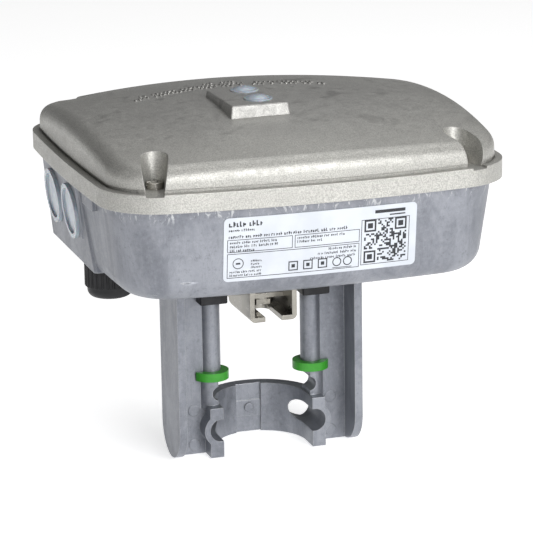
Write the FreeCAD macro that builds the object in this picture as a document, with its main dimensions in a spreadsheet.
"""Motorised actuator head for a heating valve: a parametric document.

Units are millimetres.  The origin is on the valve-neck axis at the collar's bottom face,
+Z runs up the stem and -Y is the side that carries the rating label.
"""
import FreeCAD, Part
import math
import os
import re
import Sketcher
from FreeCAD import Placement, Rotation, Vector
from fcgear import fcgear, involute

DIMS = {
    # valve neck collar and yoke
    "neck_radius": 22.25, "neck_relief": 0.7, "collar_wall": 6.55, "collar_high": 24.4, "seat_front": 11.1,
    "ubolt_radius": 5.5, "ubolt_half_pitch": 23.3, "ubolt_level": 13.3, "ubolt_boss": 8.3,
    "notch_radius": 3.4, "notch_half_pitch": 22.5, "notch_level": 30.0,
    "column_half_pitch": 25.0, "column_radius": 4.8, "column_foot_high": 36.6, "column_foot_half": 4.1,
    "web_inner": 25.0, "web_thick": 4.0, "flange_inner": 41.8, "flange_thick": 3.9,
    "flange_front": 17.0, "flange_back": 13.7, "yoke_top": 99.0, "yoke_plate_thick": 6.0,
    "yoke_plate_half_long": 52.0, "yoke_plate_half_deep": 24.0, "screw_passage": 8.0,
    "yoke_screw_x": 34.0, "yoke_screw_y": 18.0, "yoke_screw_radius": 3.0, "yoke_screw_head": 5.0,
    "seat_panel_half": 6.3, "seat_panel_deep": 0.5,
    # housing base casting
    "base_top": 142.3, "base_bottom": 99.0, "base_wall": 3.4, "base_floor": 4.0,
    "case_centre_y": -5.9, "base_half_long": 91.2, "base_half_deep": 88.0, "base_draft": 5.0,
    "base_bow_side": 3.0, "base_bow_front": 6.5, "base_corner": 26.0, "base_foot_round": 11.0,
    "inlet_boss_x": 92.7, "inlet_boss_foot_x": 89.6, "inlet_boss_low": 113.5,
    "inlet_boss_front": -18.5, "inlet_boss_back": 46.5, "inlet_boss_chamfer": 1.6,
    "side_panel_x": 91.8, "side_panel_foot_x": 87.6, "side_panel_low": 101.5,
    "side_panel_front": -21.0, "side_panel_foot_front": -31.0, "side_panel_back": 52.0,
    "inlet_front_y": -3.9, "inlet_back_y": 29.5, "inlet_level": 125.4, "inlet_radius": 10.2,
    "side_plug_radius": 12.9, "side_plug_rim": 1.7, "side_plug_web": 0.8, "side_plug_shank": 6.0,
    "lug_x": 91.6, "lug_front": -46.0, "lug_back": -27.0, "lug_high": 8.0,
    "gasket_inset": 0.4, "gasket_wide": 1.1, "gasket_deep": 1.2,
    # cover
    "lip_half_long": 95.75, "lip_half_deep": 93.9, "lip_bow_side": 3.4, "lip_bow_front": 8.8,
    "lip_corner": 28.8, "lip_high": 8.4, "lip_ledge": 3.4, "cover_wall": 2.8, "groove_wide": 0.9,
    "crown_rise": 23.5, "crown_fall_x": 6.0, "crown_fall_y": 11.0, "ridge_y": 0.0, "ridge_bow": 8.0,
    "crown_reach": 90.0, "shoulder_round": 7.5,
    "pad_x": -11.95, "pad_y": -24.45, "pad_half_wide": 13.35, "pad_half_deep": 20.25,
    "pad_top": 176.8, "pad_flare": 1.2, "pad_round": 0.8, "plug_x": -9.2, "plug_y": -22.0,
    "plug_half_pitch": 10.65, "plug_radius": 6.6, "plug_hole": 4.6,
    "plug_rise": 1.6, "plug_rim": 0.7, "plug_dome": 5.3, "plug_shank": 6.0,
    "cover_screw_x": 70.4, "cover_screw_front": -76.0, "cover_screw_back": 64.2,
    "cover_screw_radius": 2.0, "cover_screw_head": 3.8, "cover_screw_head_high": 3.0,
    "scoop_radius": 3.95, "scoop_flare": 0.155, "scoop_wall": 2.2, "scoop_turn": 15.0,
    # label
    "label_left": -44.0, "label_right": 45.6, "label_low": 107.8, "label_high": 137.3,
    "label_thick": 0.35, "label_corner": 2.2,
    # gland, M20 size
    "gland_x": -74.9, "gland_y": -8.0, "gland_thread": 10.0, "gland_hex": 11.8, "gland_seat": 103.0,
    "gland_inner_seat": 112.0, "gland_flange": 2.6, "gland_nut_long": 4.8, "gland_dome": 10.6,
    "gland_low": 84.5, "gland_cable": 4.0,
    # crosshead
    "bar_low": 78.0, "bar_high": 85.0, "bar_half_deep": 7.5, "bar_half_long": 30.0, "fork_radius": 6.2,
    "block_inner": 18.6, "block_outer": 32.1, "block_half_deep": 9.7, "block_low": 75.0,
    "block_high": 88.0, "slide_clearance": 0.06, "web_clearance": 0.35,
    "bracket_half": 11.5, "bracket_thick": 2.3, "bracket_low": 67.9, "bracket_front": -22.0,
    "bracket_back": 14.0, "bracket_slot_half": 4.05, "bracket_slot_end": -2.0, "bracket_round": 2.6,
    "bracket_heel": 7.0, "leg_top": 88.0, "leg_back": -8.2, "stroke": 25.0, "screw_lead": 20.0,
    "lead_screw_radius": 6.0, "lead_screw_tail": 4.0, "lead_screw_top": 140.0, "tail_nut_high": 3.8,
    # indicator rings
    "ring_outer": 8.66, "ring_high": 4.1, "ring_top": 40.8, "ring_gap": 5.6, "ring_clearance": 0.06,
    # gear train
    "plate_low": 108.0, "plate_thick": 2.0, "plate_gap": 22.0, "pillar_radius": 4.0,
    "gear_module": 1.0, "pressure_angle": 20.0, "drive_teeth": 70, "pinion_teeth": 14,
    "idler_teeth": 56, "spring_teeth": 28, "sensor_teeth": 20, "mesh_slack": 0.15,
    "low_gear": 112.0, "low_gear_thick": 7.0, "high_gear": 122.0, "high_gear_thick": 5.0,
    "nut_radius": 10.0, "bearing_outer": 14.0, "bearing_thick": 2.0, "shaft_radius": 2.5,
    "running_gap": 0.05, "motor_angle": 25.0, "spring_angle": 100.0,
    "sensor_angle": 200.0, "motor_radius": 18.5, "motor_high": 24.0, "gearbox_high": 5.0,
    "gearbox_half": 20.0, "override_top": 166.0, "override_radius": 3.5, "override_hex": 5.0,
    "bush_radius": 6.0, "bush_high": 8.0,
    "spring_case_radius": 26.0, "spring_case_high": 18.0, "spring_case_wall": 1.6,
    "spring_turns": 6.0, "spring_thick": 0.8, "spring_inner": 5.0, "spring_outer": 23.6,
    "sensor_radius": 8.0, "sensor_high": 9.0,
    # electronics
    "board_low": 146.0, "board_thick": 1.6, "board_left": -66.0, "board_right": 20.0,
    "board_front": -70.0, "board_back": 14.0, "button_travel": 1.2, "dip_pitch": 2.54,
    "dip_x": -40.0, "dip_y": 2.0, "dip_travel": 1.6,
}

doc = FreeCAD.newDocument("actuator_head")
sheet = doc.addObject("Spreadsheet::Sheet", "dims")
for line, (alias, value) in enumerate(DIMS.items(), start=1):
    sheet.set(f"A{line}", alias)
    sheet.set(f"B{line}", str(value))
    sheet.setAlias(f"B{line}", alias)
doc.recompute()


class Dimensions:
    """Reads the spreadsheet's cells by alias."""

    def __getattr__(self, alias):
        return float(sheet.get(alias))


D = Dimensions()
WORD = re.compile(r"\b[a-z_]+\b")
PARTS = {}


def bind(item, prop, rule):
    """Set a property from a number, or bind it to a rule made of the sheet's aliases."""
    if isinstance(rule, (int, float)):
        rule = repr(float(rule))
    item.setExpression(prop, WORD.sub(lambda m: f"dims.{m[0]}" if m[0] in DIMS else m[0], rule))


def primitive(kind, label, sizes, at=("0", "0", "0")):
    item = doc.addObject(kind, label)
    for prop, rule in sizes.items():
        bind(item, prop, rule)
    for letter, rule in zip("xyz", at):
        bind(item, f"Placement.Base.{letter}", rule)
    return item


def box(label, low, high):
    """A box from its low corner to its high corner, each a rule for x, y and z."""
    sizes = {p: f"({b}) - ({a})" for p, a, b in zip(("Length", "Width", "Height"), low, high)}
    return primitive("Part::Box", label, sizes, low)


def post(label, radius, x, y, low, high):
    """An upright cylinder."""
    return primitive("Part::Cylinder", label, {"Radius": radius, "Height": f"({high}) - ({low})"}, (x, y, low))


def rod(label, radius, x, z, front, back):
    """A cylinder lying along Y."""
    item = primitive("Part::Cylinder", label, {"Radius": radius, "Height": f"({back}) - ({front})"},
                     (x, front, z))
    item.Placement.Rotation = Rotation(Vector(1, 0, 0), -90)
    return item


def across(label, radius, y, z, left, right):
    """A cylinder lying along X."""
    item = primitive("Part::Cylinder", label, {"Radius": radius, "Height": f"({right}) - ({left})"},
                     (left, y, z))
    item.Placement.Rotation = Rotation(Vector(0, 1, 0), 90)
    return item


def join(label, *items):
    item = doc.addObject("Part::MultiFuse", label)
    item.Shapes = list(items)
    item.Refine = True
    return item


def group(label, *items):
    """Separate solids kept together in one sub-part."""
    item = doc.addObject("Part::Compound", label)
    item.Links = list(items)
    return item


def cut(label, base, *tools):
    item = doc.addObject("Part::Cut", label)
    item.Base = base
    item.Tool = tools[0] if len(tools) == 1 else group(f"{label}_tools", *tools)
    return item


def common(label, *items):
    item = doc.addObject("Part::MultiCommon", label)
    item.Shapes = list(items)
    return item


def shaped(label, shape, x=0.0, y=0.0, z=0.0):
    """A feature whose shape is made by Part's own functions."""
    item = doc.addObject("Part::Feature", label)
    item.Shape = shape
    item.Placement = Placement(Vector(x, y, z), Rotation())
    return item


def rounded(label, base, radius, chosen):
    """Fillet the edges that the test picks."""
    doc.recompute()
    item = doc.addObject("Part::Fillet", label)
    item.Base = base
    item.Edges = [(i, radius, radius) for i, e in enumerate(base.Shape.Edges, start=1) if chosen(e)]
    return item


def keep(node, item):
    """Name a finished sub-part."""
    item.Label = node
    PARTS[node] = item
    return item


def sketch(body, role, label):
    """A sketch on one of the body's own origin planes."""
    item = body.newObject("Sketcher::SketchObject", label)
    plane = next(f for f in body.Origin.OriginFeatures if f.Role == role)
    item.AttachmentSupport = [(plane, "")]
    item.MapMode = "FlatFace"
    return item


def polygon(item, points):
    """Draw a closed run of straight lines in a sketch, its ends joined."""
    count = len(points)
    for i in range(count):
        a, b = points[i], points[(i + 1) % count]
        item.addGeometry(Part.LineSegment(Vector(*a, 0), Vector(*b, 0)), False)
    for i in range(count):
        item.addConstraint(Sketcher.Constraint("Coincident", i, 2, (i + 1) % count, 1))


def pad(body, profile, length, both=False):
    feature = body.newObject("PartDesign::Pad", f"{profile.Name}_pad")
    feature.Profile = profile
    feature.Midplane = both
    bind(feature, "Length", length)
    profile.Visibility = False
    return feature


# ---------------------------------------------------------------- outlines and the crown

def circle_meet(a, ra, b, rb, near):
    """The point at distance ra from a and rb from b that lies nearest to a given point."""
    gap = b - a
    along = (ra ** 2 - rb ** 2 + gap.Length ** 2) / (2 * gap.Length)
    side = math.sqrt(max(ra ** 2 - along ** 2, 0))
    unit = Vector(gap).normalize()
    foot = a + unit * along
    normal = Vector(-unit.y, unit.x, 0)
    return min((foot + normal * side, foot - normal * side), key=lambda p: p.distanceToPoint(near))


def bowed_outline(half_long, half_deep, bow_side, bow_front, corner, z):
    """A rectangle whose four sides bow outwards, with round corners tangent to them."""
    side_r = (half_deep ** 2 + bow_side ** 2) / (2 * bow_side)
    front_r = (half_long ** 2 + bow_front ** 2) / (2 * bow_front)
    side_c = Vector(half_long - side_r, 0, 0)
    front_c = Vector(0, half_deep - front_r, 0)
    centre = circle_meet(side_c, side_r - corner, front_c, front_r - corner,
                         Vector(half_long - corner, half_deep - corner, 0))
    on_side = side_c + (centre - side_c).normalize() * side_r
    on_front = front_c + (centre - front_c).normalize() * front_r
    middle = centre + (Vector(on_side + on_front) * 0.5 - centre).normalize() * corner

    def at(p, sx, sy):
        return Vector(p.x * sx, p.y * sy + D.case_centre_y, z)

    edges = []
    for sx, sy in ((1, 1), (-1, 1), (-1, -1), (1, -1)):
        ends = [at(on_side, sx, sy), at(middle, sx, sy), at(on_front, sx, sy)]
        edges.append(Part.Arc(*(ends if sx * sy > 0 else ends[::-1])).toShape())
    for sy in (1, -1):
        edges.append(Part.Arc(at(on_front, 1, sy), at(Vector(0, half_deep, 0), 1, sy),
                              at(on_front, -1, sy)).toShape())
    for sx in (1, -1):
        edges.append(Part.Arc(at(on_side, sx, 1), at(Vector(half_long, 0, 0), sx, 1),
                              at(on_side, sx, -1)).toShape())
    return Part.Wire(Part.__sortEdges__(edges))


def lip_outline(inset, z):
    """The cover lip's outline, drawn in by a distance."""
    return bowed_outline(D.lip_half_long - inset, D.lip_half_deep - inset, D.lip_bow_side,
                         D.lip_bow_front, D.lip_corner - inset, z)


def base_outline(inset, z):
    """The base casting's outline at a height, with its draft."""
    drawn_in = inset + D.base_draft * (D.base_top - z) / (D.base_top - D.base_bottom)
    return bowed_outline(D.base_half_long - drawn_in, D.base_half_deep - drawn_in, D.base_bow_side,
                         D.base_bow_front, D.base_corner - inset, z)


def prism(wire, high):
    return Part.Face(wire).extrude(Vector(0, 0, high))


def loft(*wires):
    return Part.makeLoft(list(wires), True, True)


def crown_height(x, y):
    """Height of the cover's outer crown: highest on a bowed ridge, falling to all sides."""
    bow = (x / D.crown_reach) ** 2
    fall = D.crown_fall_x * bow
    fall += D.crown_fall_y * ((y - D.ridge_y + D.ridge_bow * bow) / D.crown_reach) ** 2
    return D.base_top + D.lip_high + D.crown_rise - fall


def under_crown(drop, half):
    """All of the space below the crown surface lowered by a distance."""
    steps = [half * (i / 5 - 1) for i in range(11)]
    grid = [[Vector(x, y + D.case_centre_y, crown_height(x, y + D.case_centre_y) - drop) for y in steps]
            for x in steps]
    surface = Part.BSplineSurface()
    surface.interpolate(grid)
    return surface.toShape().extrude(Vector(0, 0, -80))


# ---------------------------------------------------------------- yoke casting

def make_yoke():
    """Collar, two columns, web arms with outer flanges, and the top plate, in one casting."""
    outer = "neck_radius + collar_wall"
    solids = [post("collar_ring", outer, "0", "0", "0", "collar_high"),
              box("collar_front", (f"-({outer})", "-seat_front", "0"), (outer, "0", "collar_high"))]
    relief = "neck_radius + neck_relief"
    holes = [post("neck_bore", "neck_radius", "0", "0", "-1", "collar_high + 0.1"),
             post("neck_over", relief, "0", "0", "collar_high", "column_foot_high"),
             box("neck_mouth", ("-neck_radius", "-60", "-1"), ("neck_radius", "0", "collar_high + 0.1")),
             box("neck_mouth_over", (f"-({relief})", "-60", "collar_high"), (relief, "0", "column_foot_high")),
             box("front_trim", ("-flange_inner + 3", "-60", "-1"), ("flange_inner - 3", "-seat_front", "collar_high + 30"))]
    plate_low = "yoke_top - yoke_plate_thick"
    for name, sign in (("left", "-1"), ("right", "1")):
        x = f"{sign} * column_half_pitch"
        solids.append(post(f"column_{name}", "column_radius", x, "0", "column_foot_high - 4", "yoke_top - 1"))
        solids.append(post(f"foot_{name}", "column_radius + 1.2", x, "0", "collar_high - 2", "column_foot_high"))
        solids.append(rod(f"ubolt_boss_{name}", "ubolt_boss", f"{sign} * ubolt_half_pitch",
                          "ubolt_level", "-seat_front", "15"))
        holes.append(rod(f"ubolt_bore_{name}", "ubolt_radius", f"{sign} * ubolt_half_pitch",
                         "ubolt_level", "-60", "60"))
        holes.append(rod(f"notch_{name}", "notch_radius", f"{sign} * notch_half_pitch",
                         "notch_level", "-60", "60"))
        lows = {"-1": ("-flange_inner - 1", "-web_inner"), "1": ("web_inner", "flange_inner + 1")}[sign]
        solids.append(box(f"web_{name}", (lows[0], "-web_thick / 2", "0"),
                          (lows[1], "web_thick / 2", "yoke_top - 1")))
        edge = {"-1": ("-flange_inner - flange_thick", "-flange_inner"),
                "1": ("flange_inner", "flange_inner + flange_thick")}[sign]
        mid = "(flange_back - flange_front) / 2"
        radius = "(flange_back + flange_front) / 2"
        solids.append(across(f"flange_end_{name}", radius, mid, radius, edge[0], edge[1]))
        solids.append(box(f"flange_{name}", (edge[0], "-flange_front", radius),
                          (edge[1], "flange_back", "yoke_top - 1")))
    solids.append(box("yoke_plate", ("-yoke_plate_half_long", "-yoke_plate_half_deep", plate_low),
                      ("yoke_plate_half_long", "yoke_plate_half_deep", "yoke_top")))
    holes.append(post("screw_passage_hole", "screw_passage", "0", "0", "60", "yoke_top + 1"))
    for i, (sx, sy) in enumerate(((1, 1), (-1, 1), (-1, -1), (1, -1))):
        holes.append(post(f"yoke_hole_{i}", "yoke_screw_radius + running_gap", f"{sx} * yoke_screw_x",
                          f"{sy} * yoke_screw_y", f"{plate_low} - 1", "yoke_top + 1"))
    holes.append(box("seat_panel", ("-seat_panel_half", "neck_radius - 4", "-1"),
                     ("seat_panel_half", "neck_radius + seat_panel_deep", "collar_high + 1")))
    band = box("seat_band", ("-seat_panel_half", "neck_radius + 0.02", "8"),
               ("seat_panel_half", "neck_radius + 2", "16"))
    return join("yoke_all", cut("yoke_cast", join("yoke_solids", *solids), *holes), band)


# ---------------------------------------------------------------- housing base

PILLARS = ((-46.0, -52.0), (68.0, -54.0), (62.0, 46.0), (-46.0, 50.0))
PLATE_CORNERS = ((-54.0, -60.0), (74.5, -60.0), (74.5, 44.0), (60.0, 58.0), (-54.0, 58.0))
BOARD_POSTS = ((-61.0, -62.0), (-61.0, 8.0))
BOARD_SPACERS = ((14.0, -64.0), (14.0, 8.0))
SQUARE = ((1, 1), (-1, 1), (-1, -1), (1, -1))


def corner_places():
    """The four cover screws."""
    return [(sx * D.cover_screw_x, y) for y in (D.cover_screw_front, D.cover_screw_back) for sx in (-1, 1)]


def inlet_lean():
    """The cable-entry face leans in towards its foot by this angle."""
    return math.degrees(math.atan2(D.inlet_boss_x - D.inlet_boss_foot_x, D.base_top - 0.5 - D.inlet_boss_low))


def inlet_face():
    """Where the cable-entry face lies at the level of its plugs."""
    share = (D.inlet_level - D.inlet_boss_low) / (D.base_top - 0.5 - D.inlet_boss_low)
    return -D.inlet_boss_foot_x - (D.inlet_boss_x - D.inlet_boss_foot_x) * share


def lean_with_inlet(item):
    """Turn an item square to the cable-entry face, about the face's plug level."""
    centre = Vector(inlet_face(), 0, D.inlet_level)
    item.Placement = Placement(Vector(0, 0, 0), Rotation(Vector(0, 1, 0), -inlet_lean()), centre)
    return item


def slab(low, high):
    """A tapering block between two level rectangles, each (x low, x high, y low, y high, z)."""
    wires = []
    for left, right, front, back, z in (low, high):
        corners = [Vector(left, front, z), Vector(right, front, z), Vector(right, back, z), Vector(left, back, z)]
        wires.append(Part.makePolygon(corners + corners[:1]))
    return loft(*wires)


def make_inlet_boss():
    """Cable-entry wall on the left: a flat panel with a slanted front edge, and a raised face for the plugs."""
    top = D.base_top - 0.5
    panel = slab((-D.side_panel_foot_x, -76, D.side_panel_foot_front, D.side_panel_back, D.side_panel_low),
                 (-D.side_panel_x, -76, D.side_panel_front, D.side_panel_back, top))
    panel = panel.makeChamfer(1.2, [e for e in panel.Edges if e.BoundBox.XMax < -80 and e.BoundBox.ZLength > 20])
    face = slab((-D.inlet_boss_foot_x, -76, D.inlet_boss_front, D.inlet_boss_back, D.inlet_boss_low),
                (-D.inlet_boss_x, -76, D.inlet_boss_front, D.inlet_boss_back, top))
    rim = [e for e in face.Edges if e.BoundBox.XMax < -80 and e.BoundBox.ZMin < D.inlet_boss_low + 0.1]
    face = face.makeChamfer(D.inlet_boss_chamfer, rim)
    return shaped("inlet_boss", panel.fuse(face))


def make_base():
    """The lower half of the housing: walls, floor, posts and cable entries."""
    top, low = D.base_top, D.base_bottom
    shell = shaped("base_solid", loft(base_outline(0, low), base_outline(0, top)))
    shell = rounded("base_rounded", shell, D.base_foot_round, lambda e: e.BoundBox.ZMax < low + 0.01)
    lug = box("corner_lug", ("-lug_x", "lug_front", "base_top - lug_high"), ("-lug_x + 9", "lug_back", "base_top - 0.5"))
    outer = join("base_outer", shell, make_inlet_boss(), lug)
    room = shaped("base_room", loft(base_outline(D.base_wall, low + D.base_floor),
                                    base_outline(D.base_wall, top + 1)))
    room = rounded("base_room_rounded", room, D.base_foot_round - D.base_wall,
                   lambda e: e.BoundBox.ZMax < low + D.base_floor + 0.01)
    hollow = cut("base_hollow", outer, room)
    floor = "base_bottom + base_floor - 0.5"
    boss_top = "base_bottom + base_floor + 4"
    boss = post("gland_boss", "gland_thread + 4.5", "gland_x", "gland_y", "gland_seat - 1", "gland_inner_seat")
    extras = [common("gland_boss_inside", boss, outer)]
    holes = [post("gland_pocket", "gland_hex + 0.8", "gland_x", "gland_y", "base_bottom - 5", "gland_seat"),
             post("gland_hole", "gland_thread + running_gap", "gland_x", "gland_y", "90", "120"),
             post("base_screw_passage", "screw_passage", "0", "0", "90", "106"),
             shaped("gasket_groove", gasket_ring(1.0))]
    for i, (x, y) in enumerate(PILLARS):
        extras.append(post(f"plate_post_{i}", "pillar_radius", x, y, floor, "plate_low"))
        holes.append(post(f"plate_post_hole_{i}", "2 + running_gap", x, y, "plate_low - 4.5", "plate_low + 1"))
    for i, (x, y) in enumerate(BOARD_POSTS):
        extras.append(post(f"board_post_{i}", "3.6", x, y, floor, "board_low"))
        holes.append(post(f"board_post_hole_{i}", "1.5 + running_gap", x, y, "board_low - 6", "board_low + 1"))
    for i, (x, y) in enumerate(corner_places()):
        extras.append(post(f"cover_post_{i}", "5", x, y, floor, "base_top"))
        holes.append(post(f"cover_post_hole_{i}", "cover_screw_radius + running_gap", x, y,
                          "base_top - 14", "base_top + 1"))
    for i, (sx, sy) in enumerate(SQUARE):
        at = (f"{sx} * yoke_screw_x", f"{sy} * yoke_screw_y")
        extras.append(post(f"yoke_thread_boss_{i}", "6", *at, floor, boss_top))
        holes.append(post(f"yoke_thread_{i}", "yoke_screw_radius + running_gap", *at, "base_bottom - 1", boss_top))
    for name, y in (("front", "inlet_front_y"), ("back", "inlet_back_y")):
        hole = across(f"inlet_hole_{name}", "inlet_radius", y, "inlet_level", "-inlet_boss_x - 8", "-inlet_boss_x + 14")
        holes.append(lean_with_inlet(group(f"inlet_hole_{name}_leaning", hole)))
    keep("housing_base", cut("base_cast", join("base_built", hollow, *extras), *holes))
    return outer


def gasket_ring(extra):
    """The seal's rectangular ring, with some height added on top."""
    low = D.base_top - D.gasket_deep
    outer = prism(lip_like(D.gasket_inset, low), D.gasket_deep + extra)
    return outer.cut(prism(lip_like(D.gasket_inset + D.gasket_wide, low), D.gasket_deep + extra))


def lip_like(inset, z):
    return bowed_outline(D.base_half_long - 0.6 - inset, D.base_half_deep - 0.6 - inset, D.base_bow_side,
                         D.base_bow_front, D.base_corner - inset, z)


def make_label(outer):
    """Curved rating label that lies on the front wall."""
    doc.recompute()
    wall = outer.Shape
    slab = Part.makeBox(D.label_right - D.label_left, 40, D.label_high - D.label_low,
                        Vector(D.label_left, D.case_centre_y - D.base_half_deep - 5, D.label_low))
    slab = slab.makeFillet(D.label_corner, [e for e in slab.Edges if e.BoundBox.YLength > 30])
    skin = wall.copy()
    skin.translate(Vector(0, -D.label_thick, 0))
    keep("rating_label", shaped("label_skin", slab.common(skin).cut(wall)))


def make_side_plugs():
    """Translucent blanking plugs in the two cable entries."""
    face = f"{inlet_face():.4f}"
    for name, y in (("front", "inlet_front_y"), ("back", "inlet_back_y")):
        rim = across(f"{name}_plug_rim", "side_plug_radius", y, "inlet_level", f"{face} - side_plug_rim", face)
        dish = across(f"{name}_plug_dish", "side_plug_radius - 2.2", y, "inlet_level",
                      f"{face} - side_plug_rim - 1", f"{face} - side_plug_web")
        shank = across(f"{name}_plug_shank", "inlet_radius - running_gap", y, "inlet_level", face,
                       f"{face} + side_plug_shank")
        bore = across(f"{name}_plug_bore", "inlet_radius - 1.6", y, "inlet_level", face,
                      f"{face} + side_plug_shank + 1")
        plug = cut(f"{name}_plug", join(f"{name}_plug_body", rim, shank), dish, bore)
        keep(f"side_plug_{name}", lean_with_inlet(plug))


# ---------------------------------------------------------------- cover

def scoop(extra, x, y, low):
    """A screw scoop that widens upwards: its well, and its mouth out through the cover's nearest long side."""
    high = 40.0
    foot = D.scoop_radius + extra
    brim = foot + D.scoop_flare * high
    well = Part.makeCone(foot, brim, high, Vector(x, y, low))
    corners = [Vector(-foot, 0, 0), Vector(foot, 0, 0), Vector(brim, 0, high), Vector(-brim, 0, high)]
    mouth = Part.Face(Part.makePolygon(corners + corners[:1])).extrude(Vector(0, 25, 0))
    turn = math.copysign(D.scoop_turn, x)
    mouth.rotate(Vector(0, 0, 0), Vector(0, 0, 1), 180 + turn if y < 0 else -turn)
    mouth.translate(Vector(x, y, low))
    return [well, mouth]


def make_cover():
    """Pillow-shaped cover with a square lip, four screw scoops and a raised pad."""
    low, top = D.base_top, D.base_top + D.lip_high
    reach = D.crown_reach + 22
    lip = prism(lip_outline(0, low), D.lip_high)
    dome = prism(lip_outline(D.lip_ledge, top - 1), 60).common(under_crown(0, reach))
    dome = dome.makeFillet(D.shoulder_round, [e for e in dome.Edges if e.BoundBox.ZMin > top + 4])
    groove = prism(lip_outline(D.lip_ledge - 0.2, top - 0.7), 2)
    groove = groove.cut(prism(lip_outline(D.lip_ledge + D.groove_wide - 0.2, top - 1), 3))
    room = prism(lip_outline(D.lip_ledge + D.cover_wall, low - 1), 70)
    room = room.common(under_crown(D.cover_wall, reach))
    room = room.makeFillet(D.shoulder_round - D.cover_wall, [e for e in room.Edges if e.BoundBox.ZMin > top + 1])
    wide, deep, flare = D.pad_half_wide, D.pad_half_deep, D.pad_flare
    pad_box = slab((D.pad_x - wide - flare, D.pad_x + wide + flare, D.pad_y - deep - flare, D.pad_y + deep + flare,
                    D.pad_top - 8), (D.pad_x - wide, D.pad_x + wide, D.pad_y - deep, D.pad_y + deep, D.pad_top))
    pad_box = pad_box.makeFillet(D.pad_round, [e for e in pad_box.Edges if e.BoundBox.ZMax > D.pad_top - 0.1])
    solid = lip.fuse([dome, pad_box]).cut([groove, room])
    limit = prism(lip_outline(D.lip_ledge + 0.4, low), 60).common(under_crown(1.0, reach))
    limit = limit.makeFillet(D.shoulder_round, [e for e in limit.Edges if e.BoundBox.ZMin > top + 1])
    towers, tools = [], []
    for x, y in corner_places():
        towers += scoop(D.scoop_wall, x, y, low)
        tools += scoop(0.0, x, y, top - 1)
        tools.append(Part.makeCylinder(D.cover_screw_radius + D.running_gap, 20, Vector(x, y, low - 1)))
    solid = solid.fuse([tower.common(limit) for tower in towers])
    for sy in (-1, 1):
        tools.append(Part.makeCylinder(D.plug_hole, 60, Vector(D.plug_x, D.plug_y + sy * D.plug_half_pitch, 130)))
    keep("cover", shaped("cover_shape", solid.cut(tools)))


def make_cover_fittings():
    """Seal, four screws and the two press-in plugs of the cover."""
    keep("cover_gasket", shaped("gasket_shape", gasket_ring(0.0)))
    screws = []
    seat = "base_top + lip_high - 1"
    for i, (x, y) in enumerate(corner_places()):
        head = post(f"cover_screw_head_{i}", "cover_screw_head", x, y, seat, f"{seat} + cover_screw_head_high")
        shank = post(f"cover_screw_shank_{i}", "cover_screw_radius", x, y, "base_top - 8", f"{seat} + 0.5")
        slot = box(f"cover_screw_slot_{i}", (f"{x} - 5", f"{y} - 0.5", f"{seat} + 1.6"),
                   (f"{x} + 5", f"{y} + 0.5", f"{seat} + 6"))
        screws.append(cut(f"cover_screw_{i}", join(f"cover_screw_body_{i}", head, shank), slot))
    keep("cover_screws", group("cover_screw_set", *screws))
    for name, sign in (("front", "-"), ("rear", "+")):
        y = f"plug_y {sign} plug_half_pitch"
        ball_radius = "(plug_dome ^ 2 + plug_rise ^ 2) / (2 * plug_rise)"
        rim_top = "pad_top + plug_rim"
        ball = primitive("Part::Sphere", f"{name}_plug_ball", {"Radius": ball_radius},
                         ("plug_x", y, f"{rim_top} + plug_rise - {ball_radius}"))
        cap = common(f"{name}_plug_cap", ball, post(f"{name}_plug_limit", "plug_dome", "plug_x", y,
                                                    "pad_top + 0.2", "pad_top + 6"))
        rim = post(f"{name}_plug_rim", "plug_radius", "plug_x", y, "pad_top", rim_top)
        rim = rounded(f"{name}_plug_rim_rounded", rim, 0.3, lambda e: e.BoundBox.ZMin > D.pad_top + 0.1)
        shank = post(f"{name}_plug_stem", "plug_hole - running_gap", "plug_x", y, "pad_top - plug_shank", "pad_top + 0.3")
        bore = post(f"{name}_plug_bore", "plug_hole - 1.3", "plug_x", y, "pad_top - plug_shank - 1", "pad_top + 0.6")
        keep(f"top_plug_{name}", cut(f"{name}_top_plug", join(f"{name}_top_plug_body", cap, rim, shank), bore))


# ---------------------------------------------------------------- cable gland

def make_gland():
    """Cable gland that points down from the left end of the floor."""
    at = ("gland_x", "gland_y")
    flange = "gland_seat - gland_flange"
    body = join("gland_tube_body", post("gland_tube", "gland_thread", *at, f"{flange} - 5", "gland_inner_seat - 0.5"),
                post("gland_collar", "gland_hex", *at, flange, "gland_seat"))
    keep("gland_body", cut("gland_body_cut", body, post("gland_tube_bore", "gland_thread - 2.4", *at, "80", "120")))
    low = "gland_low + gland_nut_long"
    nut_top = f"{flange} - 0.2"
    ribs = [post("gland_nut_core", "gland_hex - 0.7", *at, low, nut_top)]
    count = 28
    for i in range(count):
        turn = 2 * math.pi * i / count
        ribs.append(post(f"gland_rib_{i}", "0.9", f"gland_x + {math.cos(turn)} * (gland_hex - 0.9)",
                         f"gland_y + {math.sin(turn)} * (gland_hex - 0.9)", f"{low} + 0.6", nut_top))
    dome = post("gland_dome", "gland_dome", *at, "gland_low", f"{low} + 0.5")
    dome = rounded("gland_dome_rounded", dome, 3.4, lambda e: e.BoundBox.ZMax < D.gland_low + 0.01)
    nut = join("gland_nut_body", dome, *ribs)
    keep("gland_nut", cut("gland_nut_cut", nut, post("gland_nut_bore", "gland_thread + running_gap", *at, "gland_low + 4", "120"),
                          post("gland_mouth", "6.4", *at, "gland_low - 1", "gland_low + 5")))
    keep("gland_seal", cut("gland_seal_cut", post("gland_seal_ring", "gland_thread - 0.1", *at, "gland_low + 4", f"{flange} - 5"),
                           post("gland_seal_bore", "gland_cable", *at, "gland_low", "110")))


# ---------------------------------------------------------------- crosshead

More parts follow.
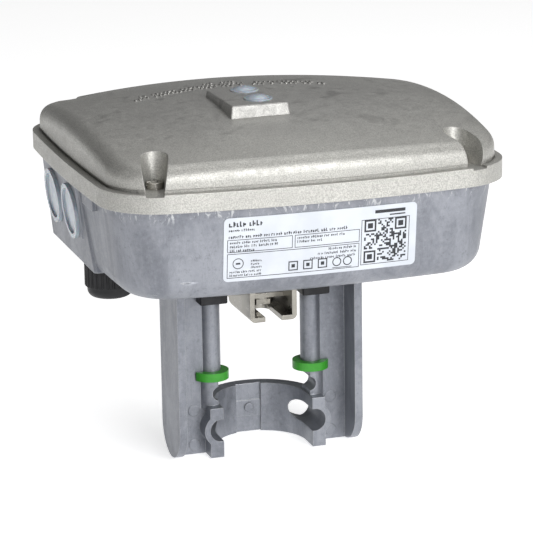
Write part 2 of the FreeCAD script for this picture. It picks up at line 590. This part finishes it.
def make_crosshead():
    """Bar, guide blocks, screw, bracket and nut that travel together."""
    bar = box("bar_solid", ("-bar_half_long", "-bar_half_deep", "bar_low"), ("bar_half_long", "bar_half_deep", "bar_high"))
    tools = [post("bar_hole", "lead_screw_tail + 0.02", "0", "0", "bar_low - 1", "bar_high + 1")]
    for name, sign in (("left", "-1"), ("right", "1")):
        x = f"{sign} * column_half_pitch"
        tools.append(post(f"fork_{name}", "fork_radius", x, "0", "bar_low - 1", "bar_high + 1"))
        ends = ("-40", f"{x}") if sign == "-1" else (x, "40")
        tools.append(box(f"fork_mouth_{name}", (ends[0], "-web_thick / 2 - 1.4", "bar_low - 1"),
                         (ends[1], "web_thick / 2 + 1.4", "bar_high + 1")))
    crossbar = keep("crossbar", cut("bar_cut", bar, *tools))
    for name, sign in (("left", "-1"), ("right", "1")):
        x = f"{sign} * column_half_pitch"
        outer = ("-block_outer", "-block_inner") if sign == "-1" else ("block_inner", "block_outer")
        ends = ("-40", x) if sign == "-1" else (x, "40")
        block = box(f"block_{name}", (outer[0], "-block_half_deep", "block_low"), (outer[1], "block_half_deep", "block_high"))
        block = rounded(f"block_round_{name}", block, 0.8, lambda e: True)
        bore = post(f"block_bore_{name}", "column_radius + slide_clearance", x, "0", "block_low - 1", "block_high + 1")
        mouth = box(f"block_mouth_{name}", (ends[0], "-web_thick / 2 - web_clearance", "block_low - 1"),
                    (ends[1], "web_thick / 2 + web_clearance", "block_high + 1"))
        keep(f"guide_block_{name}", cut(f"guide_{name}", block, bore, mouth, crossbar))
    make_bracket()
    screw = join("screw_body", post("screw_stem", "lead_screw_radius", "0", "0", "bar_high", "lead_screw_top"),
                 post("screw_tail", "lead_screw_tail", "0", "0", "bar_low - bracket_thick - tail_nut_high - 0.8", "bar_high"))
    keep("lead_screw", screw)
    nut_low = "bar_low - bracket_thick - tail_nut_high"
    hexagon = primitive("Part::Prism", "tail_hex", {"Circumradius": "7", "Height": "tail_nut_high - 1"}, ("0", "0", nut_low))
    washer = post("tail_washer", "7.6", "0", "0", f"{nut_low} + tail_nut_high - 1", "bar_low - bracket_thick")
    keep("bracket_nut", cut("tail_nut", join("tail_nut_body", hexagon, washer),
                            post("tail_nut_bore", "lead_screw_tail + 0.02", "0", "0", "60", "80")))


def make_bracket():
    """Steel channel that hooks under the valve stem's head."""
    body = doc.addObject("PartDesign::Body", "bracket_body")
    outline = sketch(body, "XZ_Plane", "bracket_outline")
    half, thick, low, high = D.bracket_half, D.bracket_thick, D.bracket_low, D.leg_top
    polygon(outline, [(-half, low), (half, low), (half, high), (half - thick, high), (half - thick, low + thick),
                      (-half + thick, low + thick), (-half + thick, high), (-half, high)])
    pad(body, outline, "bracket_back - bracket_front")
    bind(body, "Placement.Base.y", "bracket_back")
    doc.recompute()
    along = [f"Edge{i}" for i, e in enumerate(body.Shape.Edges, start=1)
             if e.BoundBox.YLength > 5 and e.BoundBox.ZMax < low + 0.01]
    channel = body.Tip
    round_off = body.newObject("PartDesign::Fillet", "bracket_round")
    round_off.Base = (channel, along)
    bind(round_off, "Radius", "bracket_round")
    slot = box("bracket_slot", ("-bracket_slot_half", "bracket_front - 1", "bracket_low - 1"),
               ("bracket_slot_half", "bracket_slot_end", "bracket_low + bracket_thick + 1"))
    slot_end = post("bracket_slot_round", "bracket_slot_half", "0", "bracket_slot_end", "bracket_low - 1",
                    "bracket_low + bracket_thick + 1")
    heel = cut("bracket_heel", box("bracket_heel_box", ("-20", "bracket_back - bracket_heel", "bracket_low - 1"),
                                   ("20", "bracket_back + 1", "bracket_low + bracket_heel")),
               across("bracket_heel_round", "bracket_heel", "bracket_back - bracket_heel", "bracket_low + bracket_heel", "-30", "30"))
    hole = post("bracket_hole", "lead_screw_tail + 0.02", "0", "0", "bar_low - 5", "bar_low + 1")
    over = box("bracket_bar_room", ("-20", "leg_back", "bar_low"), ("20", "bracket_back + 1", "leg_top + 1"))
    plate = box("bracket_plate", ("-bracket_half + 1", "leg_back", "bar_low - bracket_thick"),
                ("bracket_half - 1", "bracket_back", "bar_low"))
    channel = join("bracket_channel", body, plate)
    keep("stem_bracket", cut("bracket_cut", channel, slot, slot_end, heel, hole, over))


def make_rings():
    """Green stroke indicators that clip round the columns."""
    for name, sign in (("left", "-1"), ("right", "1")):
        x = f"{sign} * column_half_pitch"
        ring = post(f"{name}_ring_body", "ring_outer", x, "0", "ring_top - ring_high", "ring_top")
        bore = post(f"{name}_ring_bore", "column_radius + ring_clearance", x, "0", "0", "60")
        ends = ("-60", x) if sign == "-1" else (x, "60")
        mouth = box(f"{name}_ring_mouth", (ends[0], "-ring_gap / 2", "0"), (ends[1], "ring_gap / 2", "60"))
        keep(f"indicator_ring_{name}", cut(f"{name}_ring", ring, bore, mouth))


# ---------------------------------------------------------------- gear train

def polar(radius, degrees, origin=Vector(0, 0, 0)):
    turn = math.radians(degrees)
    return origin + Vector(radius * math.cos(turn), radius * math.sin(turn), 0)


def mesh_distance(teeth_a, teeth_b):
    return D.gear_module * (teeth_a + teeth_b) / 2 + D.mesh_slack


def gear_blank(teeth, thick, turn):
    """An involute spur gear about the Z axis, its first tooth turned by an angle in degrees."""
    builder = fcgear.FCWireBuilder()
    involute.CreateExternalGear(builder, D.gear_module, int(teeth), D.pressure_angle)
    face = Part.Face(Part.Wire([edge.toShape() for edge in builder.wire]))
    face.rotate(Vector(0, 0, 0), Vector(0, 0, 1), turn)
    return face.extrude(Vector(0, 0, thick))


def mesh_turn(teeth_a, turn_a, teeth_b, towards):
    """Turn of gear b so that one of its gaps faces gear a's tooth, seen along a direction."""
    pitch_a, pitch_b = 360 / teeth_a, 360 / teeth_b
    phase = ((towards - turn_a) / pitch_a) % 1
    return towards + 180 + phase * pitch_b - pitch_b / 2


def gear_places():
    """Centres of the train's shafts, worked out from the tooth counts."""
    pinion_gap = mesh_distance(D.drive_teeth, D.pinion_teeth)
    wheel_gap = mesh_distance(D.idler_teeth, D.pinion_teeth)
    override = Vector(D.plug_x, D.plug_y - D.plug_half_pitch, 0)
    idler = circle_meet(Vector(0, 0, 0), pinion_gap, override, wheel_gap, Vector(40, -40, 0))
    return {"override": override, "idler": idler,
            "motor": polar(wheel_gap, D.motor_angle, idler),
            "spring": polar(mesh_distance(D.drive_teeth, D.spring_teeth), D.spring_angle),
            "sensor": polar(mesh_distance(D.drive_teeth, D.sensor_teeth), D.sensor_angle)}


def bearing_of(a, b):
    """Direction from a to b in degrees."""
    return math.degrees(math.atan2(b.y - a.y, b.x - a.x))


def make_gears():
    """Drive gear with its nut, idler, motor pinion, spring gear, sensor gear and override spindle."""
    places = gear_places()
    origin = Vector(0, 0, 0)
    low, high = D.low_gear, D.high_gear
    plate_top = D.plate_low + D.plate_thick
    upper = plate_top + D.plate_gap
    hub = Part.makeCylinder(D.nut_radius, upper - plate_top - 2 * D.bearing_thick - 0.1,
                            Vector(0, 0, plate_top + D.bearing_thick + D.running_gap))
    drive = gear_blank(D.drive_teeth, D.low_gear_thick, 0)
    drive.translate(Vector(0, 0, low + 0.5))
    drive = drive.fuse([hub]).cut(Part.makeCylinder(D.lead_screw_radius + D.running_gap, 60, Vector(0, 0, 100)))
    keep("drive_gear", shaped("drive_gear_shape", drive))
    idler = places["idler"]
    idler_turn = mesh_turn(D.drive_teeth, 0, D.pinion_teeth, bearing_of(origin, idler))
    pinion = gear_blank(D.pinion_teeth, high - low - 0.5, idler_turn)
    pinion.translate(Vector(0, 0, low + 0.5))
    wheel = gear_blank(D.idler_teeth, D.high_gear_thick, 0)
    wheel.translate(Vector(0, 0, high))
    spacer = Part.makeCylinder(5, upper - high - D.high_gear_thick - 0.1, Vector(0, 0, high + D.high_gear_thick))
    shape = pinion.fuse([wheel, spacer]).cut(Part.makeCylinder(D.shaft_radius + D.running_gap, 60, Vector(0, 0, 100)))
    keep("idler_gear", shaped("idler_gear_shape", shape, idler.x, idler.y))
    for key, node, teeth, face, bottom in (("motor", "motor_pinion", D.pinion_teeth, D.high_gear_thick, high),
                                           ("override", "override_spindle", D.pinion_teeth, D.high_gear_thick, high)):
        at = places[key]
        turn = mesh_turn(D.idler_teeth, 0, teeth, bearing_of(idler, at))
        shape = gear_blank(teeth, face, turn)
        shape.translate(Vector(0, 0, bottom))
        top = upper + 4 if key == "motor" else D.override_top
        radius = D.shaft_radius if key == "motor" else D.override_radius
        shape = shape.fuse([Part.makeCylinder(radius, top - bottom, Vector(0, 0, bottom))])
        if key == "override":
            socket = Part.Face(Part.makePolygon([polar(D.override_hex / math.sqrt(3), 60 * i, Vector(0, 0, top - 5))
                                                 for i in range(7)])).extrude(Vector(0, 0, 6))
            shape = shape.cut(socket)
        keep(node, shaped(f"{node}_shape", shape, at.x, at.y))
    for key, node, teeth in (("spring", "spring_gear", D.spring_teeth), ("sensor", "sensor_gear", D.sensor_teeth)):
        at = places[key]
        shape = gear_blank(teeth, D.low_gear_thick, mesh_turn(D.drive_teeth, 0, teeth, bearing_of(origin, at)))
        shape.translate(Vector(0, 0, low + 0.5))
        top = upper + D.plate_thick + (D.spring_case_high - 2 if key == "spring" else 4)
        shaft = Part.makeCylinder(D.shaft_radius, top - plate_top - 0.1, Vector(0, 0, plate_top + 0.1))
        shape = shape.fuse([shaft])
        if key == "spring":
            arbor = Part.makeCylinder(D.spring_inner, D.spring_case_high - 2 * D.spring_case_wall - 1.2,
                                      Vector(0, 0, upper + D.plate_thick + D.spring_case_wall + 0.6))
            shape = shape.fuse([arbor])
        keep(node, shaped(f"{node}_shape", shape, at.x, at.y))
    return places


def make_plates(places):
    """Two steel plates on pillars that carry the train, with bearings, shaft and screws."""
    plate_top = "plate_low + plate_thick"
    upper = "plate_low + plate_thick + plate_gap"
    for node, low in (("gear_plate_lower", "plate_low"), ("gear_plate_upper", upper)):
        body = doc.addObject("PartDesign::Body", f"{node}_body")
        outline = sketch(body, "XY_Plane", f"{node}_outline")
        polygon(outline, PLATE_CORNERS)
        pad(body, outline, "plate_thick")
        bind(body, "Placement.Base.z", low)
        base = rounded(f"{node}_rounded", body, 6.0, lambda e: e.BoundBox.ZLength > 1)
        span = (f"{low} - 1", f"{low} + plate_thick + 1")
        holes = [post(f"{node}_passage", "screw_passage", "0", "0", *span)]
        holes += [post(f"{node}_hole_{i}", "2 + running_gap", x, y, *span) for i, (x, y) in enumerate(PILLARS)]
        holes.append(post(f"{node}_idler_hole", "shaft_radius", places["idler"].x, places["idler"].y, *span))
        if low == upper:
            for key, radius in (("motor", "shaft_radius + 1.5"), ("spring", "shaft_radius + 1"),
                                ("sensor", "shaft_radius + 1"), ("override", "bush_radius")):
                holes.append(post(f"{node}_{key}_hole", radius, places[key].x, places[key].y, *span))
        keep(node, cut(f"{node}_cut", base, *holes))
    at = places["idler"]
    keep("idler_shaft", post("idler_shaft_body", "shaft_radius", at.x, at.y, "plate_low", f"{upper} + plate_thick"))
    for node, low in (("bearing_lower", plate_top), ("bearing_upper", f"{upper} - bearing_thick")):
        ring = post(f"{node}_ring", "bearing_outer", "0", "0", low, f"{low} + bearing_thick")
        keep(node, cut(f"{node}_cut", ring, post(f"{node}_bore", "screw_passage - 1", "0", "0", "100", "150")))
    pillars, screws = [], []
    for i, (x, y) in enumerate(PILLARS):
        tube = post(f"pillar_{i}", "pillar_radius", x, y, plate_top, upper)
        pillars.append(cut(f"pillar_tube_{i}", tube, post(f"pillar_bore_{i}", "2 + running_gap", x, y, "100", "150")))
        top = f"{upper} + plate_thick"
        head = post(f"plate_screw_head_{i}", "3.5", x, y, top, f"{top} + 2.6")
        shank = post(f"plate_screw_shank_{i}", "2", x, y, "plate_low - 4", f"{top} + 0.5")
        slot = box(f"plate_screw_slot_{i}", (f"{x} - 5", f"{y} - 0.5", f"{top} + 1.4"), (f"{x} + 5", f"{y} + 0.5", f"{top} + 4"))
        screws.append(cut(f"plate_screw_{i}", join(f"plate_screw_body_{i}", head, shank), slot))
    keep("plate_pillars", group("pillar_set", *pillars))
    keep("plate_screws", group("plate_screw_set", *screws))
    at = places["override"]
    low, high = upper, f"{upper} + plate_thick + bush_high"
    bush = join("bush_body", post("bush_tube", "bush_radius", at.x, at.y, low, high),
                post("bush_flange", "bush_radius + 2", at.x, at.y, f"{low} + plate_thick", f"{low} + plate_thick + 1.5"))
    keep("override_bush", cut("bush_cut", bush, post("bush_bore", "override_radius + running_gap", at.x, at.y, "120", "160")))


def make_drive_units(places):
    """Gear motor, spring cassette and position sensor on the upper plate."""
    deck = "plate_low + 2 * plate_thick + plate_gap"
    at = places["motor"]
    box_low = (f"{at.x} - gearbox_half", f"{at.y} - gearbox_half", deck)
    box_high = (f"{at.x} + gearbox_half", f"{at.y} + gearbox_half", f"{deck} + gearbox_high")
    gearbox = box("gearbox", box_low, box_high)
    gearbox = rounded("gearbox_rounded", gearbox, 5.0, lambda e: e.BoundBox.ZLength > 4)
    can = post("motor_can", "motor_radius", at.x, at.y, f"{deck} + gearbox_high - 0.5", f"{deck} + gearbox_high + motor_high")
    can = rounded("motor_can_rounded", can, 1.5, lambda e: e.BoundBox.ZMin > D.plate_low + 40)
    keep("gear_motor", cut("motor_cut", join("motor_body", gearbox, can),
                           post("motor_shaft_bore", "shaft_radius + running_gap", at.x, at.y, "120", f"{deck} + 4")))
    at = places["spring"]
    wall = "spring_case_wall"
    case = cut("spring_case_shell", post("spring_case_solid", "spring_case_radius", at.x, at.y, deck, f"{deck} + spring_case_high - {wall}"),
               post("spring_case_room", f"spring_case_radius - {wall}", at.x, at.y, f"{deck} + {wall}", f"{deck} + 40"),
               post("spring_case_hole", "shaft_radius + 1", at.x, at.y, f"{deck} - 2", f"{deck} + 5"))
    keep("spring_case", case)
    lid = post("spring_lid_disc", "spring_case_radius", at.x, at.y, f"{deck} + spring_case_high - {wall}", f"{deck} + spring_case_high")
    keep("spring_lid", cut("spring_lid_cut", lid, post("spring_lid_hole", "shaft_radius + running_gap", at.x, at.y, "140", "170")))
    keep("return_spring", shaped("spring_strip", spiral_strip(), at.x, at.y, D.plate_low + 2 * D.plate_thick + D.plate_gap
                                 + D.spring_case_wall + 0.6))
    at = places["sensor"]
    body = post("sensor_can", "sensor_radius", at.x, at.y, deck, f"{deck} + sensor_high")
    legs = [box(f"sensor_leg_{i}", (f"{at.x} + {2.5 * i} - 0.4", f"{at.y} - sensor_radius - 4", f"{deck} + 2"),
                (f"{at.x} + {2.5 * i} + 0.4", f"{at.y} - 4", f"{deck} + 2.6")) for i in (-1, 0, 1)]
    keep("position_sensor", cut("sensor_cut", join("sensor_body", body, *legs),
                                post("sensor_bore", "shaft_radius + running_gap", at.x, at.y, "120", f"{deck} + 4.1")))


def spiral_strip():
    """The clock spring: a strip wound from the arbor to the case wall."""
    steps = int(D.spring_turns * 12)

    def curve(offset):
        points = []
        for i in range(steps + 1):
            share = i / steps
            radius = D.spring_inner + 0.05 + (D.spring_outer - D.spring_inner - D.spring_thick) * share + offset
            points.append(polar(radius, 30 * i))
        line = Part.BSplineCurve()
        line.interpolate(points)
        return line.toShape(), points[0], points[-1]

    inner, in_start, in_end = curve(0.0)
    outer, out_start, out_end = curve(D.spring_thick)
    edges = [inner, Part.makeLine(in_end, out_end), outer, Part.makeLine(out_start, in_start)]
    face = Part.Face(Part.Wire(Part.__sortEdges__(edges)))
    return face.extrude(Vector(0, 0, D.spring_case_high - 2 * D.spring_case_wall - 1.2))


# ---------------------------------------------------------------- electronics

def make_board():
    """Circuit board with its spacers, screws and everything soldered to it."""
    top = "board_low + board_thick"
    board = box("board_slab", ("board_left", "board_front", "board_low"), ("board_right", "board_back", top))
    holes = [post("board_override_hole", "bush_radius", "plug_x", "plug_y - plug_half_pitch", "140", "150")]
    places = BOARD_POSTS + BOARD_SPACERS
    holes += [post(f"board_hole_{i}", "1.5 + running_gap", x, y, "140", "150") for i, (x, y) in enumerate(places)]
    keep("circuit_board", cut("board_cut", board, *holes))
    deck = "plate_low + 2 * plate_thick + plate_gap"
    spacers, screws = [], []
    for i, (x, y) in enumerate(BOARD_SPACERS):
        tube = primitive("Part::Prism", f"spacer_{i}", {"Circumradius": "3.2", "Height": f"board_low - ({deck})"}, (x, y, deck))
        spacers.append(cut(f"spacer_tube_{i}", tube, post(f"spacer_bore_{i}", "1.5 + running_gap", x, y, "130", "150")))
    keep("board_spacers", group("spacer_set", *spacers))
    for i, (x, y) in enumerate(places):
        head = post(f"board_screw_head_{i}", "2.8", x, y, top, f"{top} + 2")
        shank = post(f"board_screw_shank_{i}", "1.5", x, y, "board_low - 5.5", f"{top} + 0.5")
        screws.append(join(f"board_screw_{i}", head, shank))
    keep("board_screws", group("board_screw_set", *screws))
    blocks = {"terminal_block_side": (("-64.5", "-54"), ("-53.5", "-6"), 8, "y"),
              "terminal_block_front": (("-48", "-69"), ("-18", "-58"), 5, "x")}
    wells = []
    for node, (low, high, ways, along) in blocks.items():
        block = box(f"{node}_body", (*low, top), (*high, f"{top} + 12"))
        tools = []
        for i in range(ways):
            share = f"({i} + 0.5) / {ways}"
            mid = [f"({low[k]} + {high[k]}) / 2" for k in (0, 1)]
            axis = 0 if along == "x" else 1
            mid[axis] = f"{low[axis]} + ({high[axis]} - {low[axis]}) * {share}"
            tools.append(post(f"{node}_well_{i}", "2", *mid, f"{top} + 8", f"{top} + 13"))
            wells.append(post(f"{node}_screw_{i}", "1.9", *mid, f"{top} + 8", f"{top} + 10"))
            if along == "x":
                tools.append(box(f"{node}_entry_{i}", (f"{mid[0]} - 1.8", f"{low[1]} - 1", f"{top} + 1.5"),
                                 (f"{mid[0]} + 1.8", f"{low[1]} + 6", f"{top} + 5.5")))
            else:
                tools.append(box(f"{node}_entry_{i}", (f"{low[0]} - 1", f"{mid[1]} - 1.8", f"{top} + 1.5"),
                                 (f"{low[0]} + 6", f"{mid[1]} + 1.8", f"{top} + 5.5")))
        keep(node, cut(f"{node}_cut", block, *tools))
    keep("terminal_screws", group("terminal_screw_set", *wells))
    keep("relay", box("relay_body", ("-46", "-50", top), ("-30", "-30", f"{top} + 11")))
    keep("capacitor", post("capacitor_body", "6", "-20", "-46", top, f"{top} + 15"))
    button = box("button_base", ("plug_x - 3.5", "plug_y + plug_half_pitch - 3.5", top),
                 ("plug_x + 3.5", "plug_y + plug_half_pitch + 3.5", f"{top} + 4.5"))
    keep("button_body", cut("button_cut", button, post("button_bore", "1.75 + running_gap", "plug_x", "plug_y + plug_half_pitch",
                                                       f"{top} + 1", f"{top} + 5")))
    keep("setup_button", post("button_stem", "1.75", "plug_x", "plug_y + plug_half_pitch", f"{top} + 2.6", f"{top} + 17"))
    low = ("dip_x - 1.5 - 2 * dip_pitch", "dip_y - 5", top)
    high = ("dip_x + 1.5 + 2 * dip_pitch", "dip_y + 5", f"{top} + 4")
    tools = []
    for i in range(4):
        x = f"dip_x + ({i} - 1.5) * dip_pitch"
        tools.append(box(f"dip_window_{i}", (f"{x} - 0.8", "dip_y - 2", f"{top} + 2.2"), (f"{x} + 0.8", "dip_y + 2", f"{top} + 5")))
        slider = box(f"dip_slider_box_{i}", (f"{x} - 0.74", "dip_y - 1.95", f"{top} + 2.25"), (f"{x} + 0.74", "dip_y + 0.25", f"{top} + 4.8"))
        keep(f"dip_slider_{i + 1}", slider)
    keep("dip_switch_body", cut("dip_cut", box("dip_box", low, high), *tools))


def make_yoke_screws():
    """Four screws that hold the yoke under the housing."""
    screws = []
    under = "yoke_top - yoke_plate_thick"
    for i, (sx, sy) in enumerate(SQUARE):
        at = (f"{sx} * yoke_screw_x", f"{sy} * yoke_screw_y")
        head = post(f"yoke_screw_head_{i}", "yoke_screw_head", *at, f"{under} - 4", under)
        socket = primitive("Part::Prism", f"yoke_socket_{i}", {"Circumradius": "2.8", "Height": "4"}, (*at, f"{under} - 5.5"))
        shank = post(f"yoke_screw_shank_{i}", "yoke_screw_radius", *at, f"{under} - 0.5", "base_bottom + base_floor + 3")
        screws.append(cut(f"yoke_screw_{i}", join(f"yoke_screw_body_{i}", head, shank), socket))
    keep("yoke_screws", group("yoke_screw_set", *screws))


def main():
    keep("yoke", make_yoke())
    make_yoke_screws()
    make_label(make_base())
    make_side_plugs()
    make_cover()
    make_cover_fittings()
    make_gland()
    make_crosshead()
    make_rings()
    places = make_gears()
    make_plates(places)
    make_drive_units(places)
    make_board()
    doc.recompute()
    for item in doc.Objects:
        if "Invalid" in item.State or "Error" in item.State:
            raise RuntimeError(f"{item.Label} failed: {item.State}")
    os.makedirs("parts", exist_ok=True)
    for node, item in PARTS.items():
        shape = item.Shape
        if shape.isNull() or not shape.isValid() or not shape.Solids:
            raise RuntimeError(f"{node} has no valid shape")
        shape.exportStep(f"parts/{node}.step")
        print(f"{node:24s} solids {len(shape.Solids):2d}  volume {shape.Volume:10.1f}")
    for name, place in places.items():
        print(f"{name} shaft at {place.x:.3f}, {place.y:.3f}")


main()
